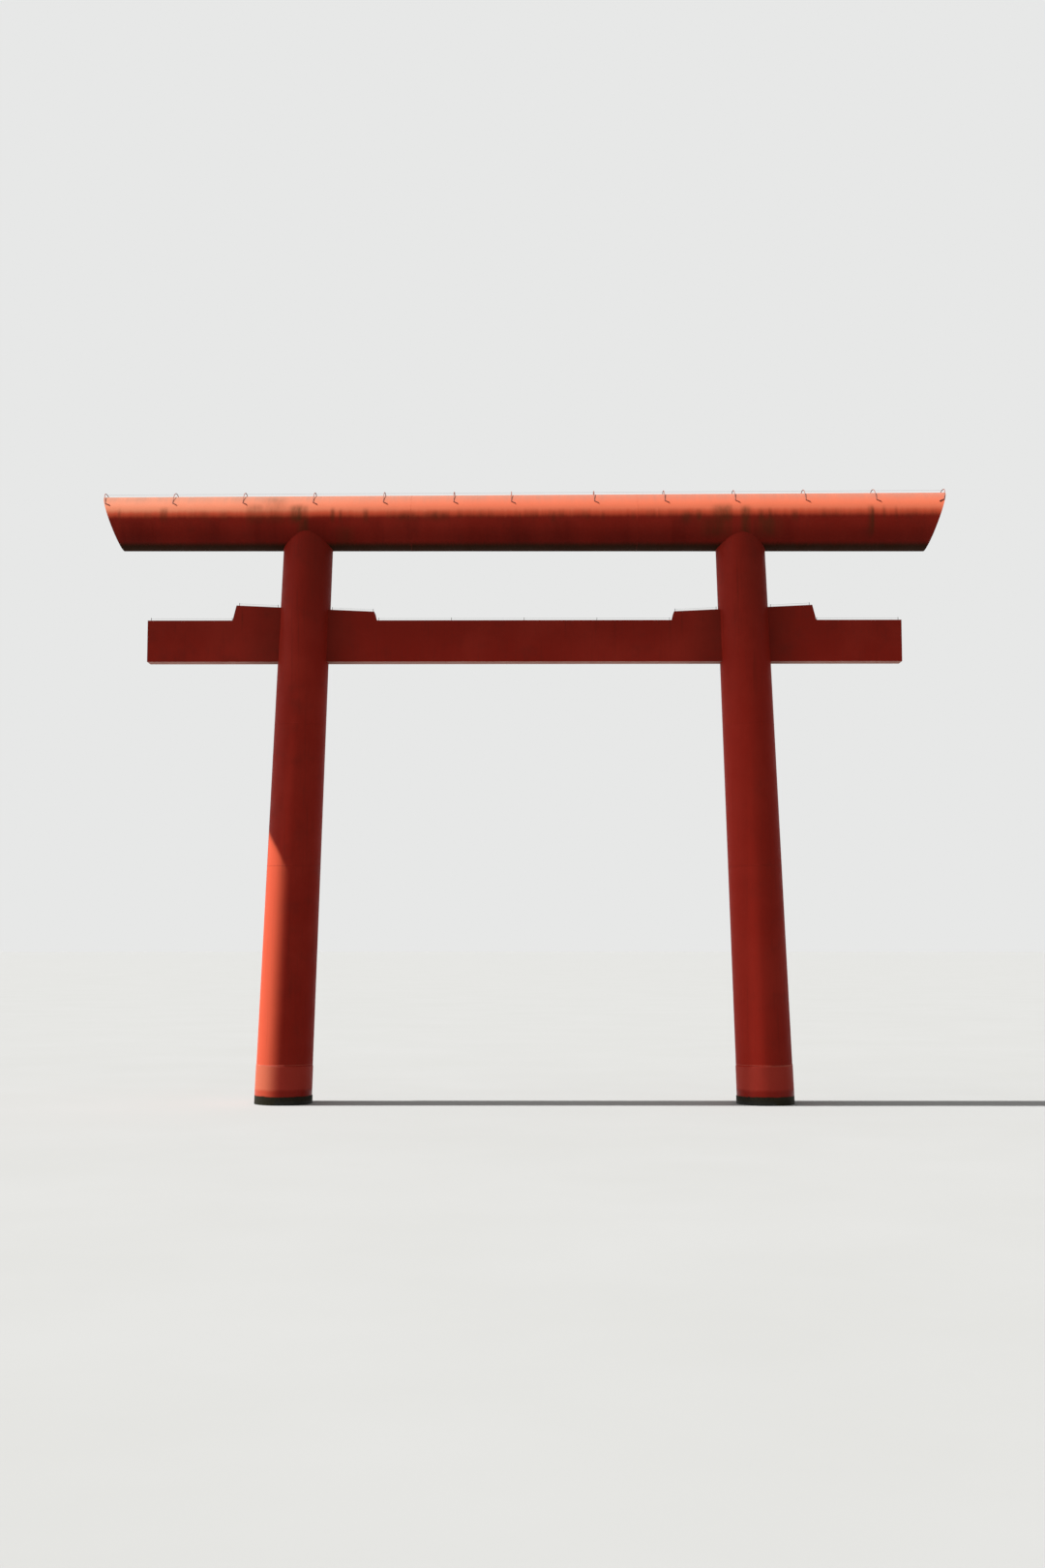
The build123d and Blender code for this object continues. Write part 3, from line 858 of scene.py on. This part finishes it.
# Small welds and wire ties
TOE_BEAD_STEPS = 26
TOE_WELD_BEGINS = 0.06
TOE_WELD_SHARE = 0.9
TOE_WELD_SIDE = 0.75
TOE_WELD_LIFT = 0.001
TIE_STEPS = 28
TIE_WIRE_RADIUS = 0.0008
TIE_HALF_WIDTH = 0.0155
COIL_TURNS = 4
COIL_TURN_STEPS = 14
COIL_BEGINS = 0.003
COIL_PITCH = 2.1 * TIE_WIRE_RADIUS
PIN_GAP = 0.05
PIN_SIDE_STEPS = 4
SEAL_RADIUS = 0.006
SEAL_STEP = 0.0135
SEAL_SINK = 0.002


def lintel_surface(point, lift):
    """The place at a height above the lintel's surface that lies nearest to a point."""
    from_middle = point - LINTEL_MIDDLE
    along = from_middle.dot(LINTEL_AXIS)
    out = (from_middle - along * LINTEL_AXIS).normalized()
    return LINTEL_MIDDLE + along * LINTEL_AXIS + (lintel_radius(along) + lift) * out, out


def hoop_places():
    """Each hoop's place along the lintel, its lean, and the way that its toes point."""
    for number in range(HOOP_COUNT):
        along = HOOP_FIRST + number * HOOP_PITCH
        lean, toe_side = 0, 1
        if number == HOOP_COUNT // 2:
            along += HOOP_MIDDLE_SHIFT
        if number == 0:
            lean = -HOOP_END_LEAN
        if number == HOOP_COUNT - 1:
            lean, toe_side = HOOP_END_LEAN, -1
        yield along, lean, toe_side


def hoop_up(lean):
    """Upward direction in a hoop's plane."""
    return (cos(lean) * LINTEL_UP + sin(lean) * LINTEL_AXIS).normalized()


def hoop_root(along, lean):
    """Where a hoop's plane cuts the lintel's axis."""
    return LINTEL_MIDDLE + (along - lintel_radius(along) * tan(lean)) * LINTEL_AXIS


def hoop_toe(along, lean, toe_side, side):
    """The bend of a hoop's leg on one side of the lintel, and its toe's direction."""
    stretch = 1 / cos(lean)
    seat = max(lintel_radius(along), lintel_radius(along + toe_side * HOOP_TOE))
    seat += SEAT_GAP + HOOP_BAR_RADIUS
    foot_cos, foot_sin = cos(HOOP_FOOT_ANGLE), sin(HOOP_FOOT_ANGLE)
    normal = Vector((foot_cos, foot_sin / stretch)).normalized()
    leg_way = normal.y * side * ACROSS - normal.x * hoop_up(lean)
    foot = hoop_root(along, lean) + side * seat * foot_cos * ACROSS
    foot += seat * foot_sin * stretch * hoop_up(lean)
    return foot, cos(HOOP_TOE_SLANT) * toe_side * LINTEL_AXIS + sin(HOOP_TOE_SLANT) * leg_way


def add_toe_welds():
    """Fillet welds along both sides of the hoops' toes."""
    sweep = Sweep()
    for number, (along, lean, toe_side) in enumerate(hoop_places()):
        for side in (-1, 1):
            foot, way = hoop_toe(along, lean, toe_side, side)
            for flank in (-1, 1):
                points, outs = [], []
                for step in range(TOE_BEAD_STEPS + 1):
                    share = TOE_WELD_BEGINS + TOE_WELD_SHARE * step / TOE_BEAD_STEPS
                    spot = foot + share * HOOP_TOE * way
                    _, out = lintel_surface(spot, 0)
                    beside = way.cross(out).normalized()
                    spot += flank * TOE_WELD_SIDE * HOOP_BAR_RADIUS * beside
                    spot, out = lintel_surface(spot, TOE_WELD_LIFT)
                    points.append(spot)
                    outs.append(out)
                sweep.tube(points, outs, SMALL_FILLET, SMALL_FILLET, False, sides=6,
                           ripple=BEAD_RIPPLE, seed=number + flank)
    sweep.piece("hoop_toe_welds", LINTEL_PAINT, "vermilion_paint")


def add_tie(sweep, bar, wire):
    """Two loops of thin wire crossed over a hoop's bar and under the lintel wire."""
    above = bar + (HOOP_BAR_RADIUS + TIE_WIRE_RADIUS) * LINTEL_UP
    below = wire - (WIRE_RADIUS + TIE_WIRE_RADIUS) * LINTEL_UP
    centre, half_height = (above + below) / 2, (above - below).length / 2
    for turn in (-1, 1):
        level = (LINTEL_AXIS + turn * ACROSS).normalized()
        points, outs = [], []
        for step in range(TIE_STEPS):
            angle = 2 * pi * step / TIE_STEPS
            across = TIE_HALF_WIDTH * cos(angle) * level
            points.append(centre + across + half_height * sin(angle) * LINTEL_UP)
            outs.append(cos(angle) * level + sin(angle) * LINTEL_UP)
        sweep.tube(points, outs, TIE_WIRE_RADIUS, TIE_WIRE_RADIUS, True, sides=5)


def add_coil(sweep, end, inward, wire_way):
    """Thin wire wound round the lintel wire, inwards from the hoop at its end."""
    beside = wire_way.cross(LINTEL_UP).normalized()
    above = beside.cross(wire_way)
    coil_radius = WIRE_RADIUS + TIE_WIRE_RADIUS
    points, outs = [], []
    for step in range(COIL_TURNS * COIL_TURN_STEPS + 1):
        angle = 2 * pi * step / COIL_TURN_STEPS
        out = cos(angle) * beside + sin(angle) * above
        run = HOOP_BAR_RADIUS + COIL_BEGINS + COIL_PITCH * step / COIL_TURN_STEPS
        points.append(end + inward * run * wire_way + coil_radius * out)
        outs.append(out)
    sweep.tube(points, outs, TIE_WIRE_RADIUS, TIE_WIRE_RADIUS, False, sides=5)


def add_wire_ties():
    """Ties where the lintel wire meets the upright hoops, and coils at the leaning ones."""
    sweep = Sweep()
    crossings = []
    for along, lean, _ in hoop_places():
        up = hoop_up(lean)
        bar = hoop_root(along, lean) + (lintel_radius(along) + HOOP_RISE) / cos(lean) * up
        crossings.append(bar - (HOOP_BAR_RADIUS + SEAT_GAP + WIRE_RADIUS) / cos(lean) * up)
        if not lean:
            add_tie(sweep, bar, crossings[-1])
    wire_way = (crossings[-1] - crossings[0]).normalized()
    add_coil(sweep, crossings[0], 1, wire_way)
    add_coil(sweep, crossings[-1], -1, wire_way)
    sweep.piece("lintel_wire_ties", WIRE_FINISH, "wire_steel")


def pin_feet():
    """Each pin's place along the gate, half its width and depth, and the height of its foot."""
    vertices = [vertex.co.copy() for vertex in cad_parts["tie_beam_pins"].data.vertices]
    vertices.sort(key=lambda place: place.x)
    group = [vertices[0]]
    for place in vertices[1:] + [None]:
        if place is not None and place.x - group[-1].x < PIN_GAP:
            group.append(place)
            continue
        low, high = group[0].x, group[-1].x
        half_depth = max(spot.y for spot in group)
        foot_z = min(spot.z for spot in group)
        yield (low + high) / 2, (high - low) / 2, half_depth, foot_z
        group = [place]


def add_pin_welds():
    """Small fillet welds round the feet of the pins on the tie beam and wedges."""
    sweep = Sweep()
    for number, (x, half_width, half_depth, z) in enumerate(pin_feet()):
        corners = [(-half_width, -half_depth), (half_width, -half_depth),
                   (half_width, half_depth), (-half_width, half_depth)]
        points, outs = [], []
        for first, last in zip(corners, corners[1:] + corners[:1]):
            for step in range(PIN_SIDE_STEPS):
                share = step / PIN_SIDE_STEPS
                points.append(Vector((x + first[0] + share * (last[0] - first[0]),
                                      first[1] + share * (last[1] - first[1]), z)))
                outs.append(Vector((0, 0, 1)))
        sweep.tube(points, outs, SMALL_FILLET, SMALL_FILLET, True, sides=6,
                   ripple=BEAD_RIPPLE, seed=number)
    sweep.piece("pin_foot_welds", BEAM_PAINT, "vermilion_paint")


def add_wedge_end_welds():
    """Fillet welds across the tie beam at the wedges' slanted ends."""
    sweep = Sweep()
    low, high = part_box("tie_beam_middle")
    depth = high.y - low.y
    count = int(depth / BEAD_STEP)
    for name, side in SIDES.items():
        for place in ("inner", "outer"):
            wedge_low, wedge_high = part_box(f"{name}_{place}_wedge")
            way = side if place == "outer" else -side
            x = wedge_low.x if way < 0 else wedge_high.x
            points = [Vector((x, low.y + depth * step / count, high.z)) for step in range(count + 1)]
            outs = [Vector((0, 0, 1))] * len(points)
            sweep.tube(points, outs, FILLET_RADIUS, FILLET_RADIUS, False, ripple=BEAD_RIPPLE, seed=3)
    sweep.piece("wedge_end_welds", BEAM_PAINT, "vermilion_paint")


def add_foot_seals():
    """A bead of sealant round each pillar on the rim of its foot coating."""
    for name, side in SIDES.items():
        sweep = Sweep()
        _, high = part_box(f"{name}_foot_sleeve")
        up = high.z / cos(PILLAR_LEAN)
        count = ring_count(PILLAR_FOOT_RADIUS, SEAL_STEP)
        around = [pillar_point(side, up, 2 * pi * step / count) for step in range(count)]
        points, outs = zip(*around)
        points = [Vector((point.x, point.y, high.z - SEAL_SINK)) for point in points]
        sweep.tube(points, outs, SEAL_RADIUS, SEAL_RADIUS, True, ripple=BEAD_RIPPLE, seed=9)
        sweep.piece(f"{name}_foot_seal", SLEEVE_COATING, "foot_coating")


add_toe_welds()
add_wire_ties()
add_pin_welds()
add_wedge_end_welds()
add_foot_seals()


# Pale floor and background. Rays that light the gate meet a darker floor than the camera does.
FLOOR_RADIUS = 900
FLOOR_SEGMENTS = 128
BOUNCE_GREY = (0.2, 0.2, 0.2, 1)
WORLD_GREY = (0.25, 0.25, 0.25, 1)
BACKGROUND_GREY = (0.8, 0.805, 0.8, 1)


def seen_directly(nodes, links):
    """1 for rays from the camera, from gloss or through glass, 0 for diffuse light."""
    path = nodes.new("ShaderNodeLightPath")
    total = path.outputs["Is Camera Ray"]
    for other in ("Is Glossy Ray", "Is Transmission Ray"):
        adding = nodes.new("ShaderNodeMath")
        adding.operation = "MAXIMUM"
        links.new(total, adding.inputs[0])
        links.new(path.outputs[other], adding.inputs[1])
        total = adding.outputs[0]
    return total


def add_floor():
    """A wide pale floor round the gate's feet."""
    graph = Graph("pale_floor")
    grain = graph.mix(graph.noise(0.25, 301, detail=5), FLOOR_PALE, FLOOR_SHADE)
    shown = seen_directly(graph.nodes, graph.links)
    colour = graph.mix(shown, BOUNCE_GREY, grain)
    relief = graph.bump(graph.noise(6, 311, detail=4), 0.0004)
    material = graph.finish(colour, 0.9, relief, specular=0.1)
    disc = bmesh.new()
    bmesh.ops.create_circle(disc, cap_ends=True, segments=FLOOR_SEGMENTS, radius=FLOOR_RADIUS)
    mesh = bpy.data.meshes.new("floor")
    disc.to_mesh(mesh)
    disc.free()
    mesh.materials.append(material)
    floor_disc = bpy.data.objects.new("floor", mesh)
    floor_disc.location = (MIDDLE, 0, 0)
    bpy.context.scene.collection.objects.link(floor_disc)


def set_world():
    """Plain soft light from all round, and a pale background."""
    world = bpy.data.worlds.new("pale_world")
    bpy.context.scene.world = world
    world.use_nodes = True
    nodes, links = world.node_tree.nodes, world.node_tree.links
    mix = nodes.new("ShaderNodeMix")
    mix.data_type = "RGBA"
    mix.inputs[6].default_value = WORLD_GREY
    mix.inputs[7].default_value = BACKGROUND_GREY
    links.new(seen_directly(nodes, links), mix.inputs["Factor"])
    links.new(mix.outputs[2], nodes["Background"].inputs["Color"])


def add_sun(name, towards, energy, spread):
    """A far lamp in the direction given, with its spread in degrees."""
    lamp = bpy.data.lights.new(name, "SUN")
    lamp.energy = energy
    lamp.angle = radians(spread)
    lamp_object = bpy.data.objects.new(name, lamp)
    lamp_object.rotation_mode = "QUATERNION"
    lamp_object.rotation_quaternion = Vector(towards).to_track_quat("Z", "Y")
    bpy.context.scene.collection.objects.link(lamp_object)


# The sun stands high on the left, close to the gate's own plane, with a broad soft fill below
SUN_TOWARDS = (-0.4648, -0.004, 0.8854)
SUN_ENERGY = 1.4 * pi
SUN_SPREAD = 1.0
FILL_TOWARDS = (-1.0, -0.15, 0.25)
FILL_ENERGY = 0.32 * pi
FILL_SPREAD = 70

add_floor()
set_world()
add_sun("key", SUN_TOWARDS, SUN_ENERGY, SUN_SPREAD)
add_sun("left_fill", FILL_TOWARDS, FILL_ENERGY, FILL_SPREAD)

# Camera low in front of the gate and a little right of its middle
CAMERA_PLACE = (MIDDLE + 0.272, -47.06, 4.1405)
CAMERA_PITCH = 0.0892
CAMERA_YAW = 0.0067
CAMERA_LENS = 41.0
LONG_SIDE_SENSOR = 36.0
CAMERA_REACH = 3000

camera_data = bpy.data.cameras.new("camera")
camera_data.lens = CAMERA_LENS
camera_data.sensor_width = LONG_SIDE_SENSOR
camera_data.sensor_fit = "AUTO"
camera_data.clip_end = CAMERA_REACH
camera = bpy.data.objects.new("camera", camera_data)
camera.location = CAMERA_PLACE
camera.rotation_euler = (pi / 2 + CAMERA_PITCH, 0, CAMERA_YAW)
bpy.context.scene.collection.objects.link(camera)
bpy.context.scene.camera = camera
bpy.context.scene.view_settings.view_transform = "Standard"
